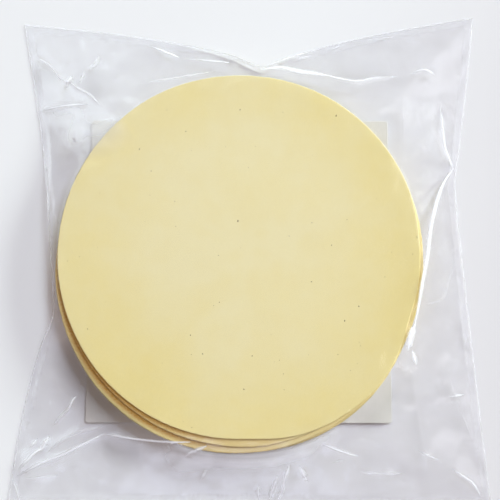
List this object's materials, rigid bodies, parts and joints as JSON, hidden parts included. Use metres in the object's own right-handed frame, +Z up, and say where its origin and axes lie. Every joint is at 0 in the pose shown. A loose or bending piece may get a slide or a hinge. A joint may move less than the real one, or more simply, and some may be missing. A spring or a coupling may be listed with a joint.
{
  "type": "stack of papadums",
  "caption": "Round raw papadums stacked on a square of card inside a clear sealed film bag that lies flat, as dry goods are stored and sold.",
  "frame": {"origin": "on the floor, under the middle of the bag's outline", "axes": "+Z up through the stack, +Y along the bag's length towards its rear edge, +X to the right"},
  "size_m": [0.2364, 0.2462, 0.0119],
  "materials": {
    "papadum": "matte dry dough, pale yellow",
    "card": "uncoated pale grey board",
    "film": "clear glossy packing film"
  },
  "bodies": {
    "root": {"papadum_01": "papadum", "papadum_02": "papadum", "papadum_03": "papadum", "papadum_04": "papadum", "papadum_05": "papadum", "papadum_06": "papadum", "papadum_07": "papadum", "papadum_08": "papadum", "papadum_09": "papadum", "papadum_10": "papadum", "backing_card": "card", "bag_front": "film", "bag_back": "film"}
  },
  "joints": []
}
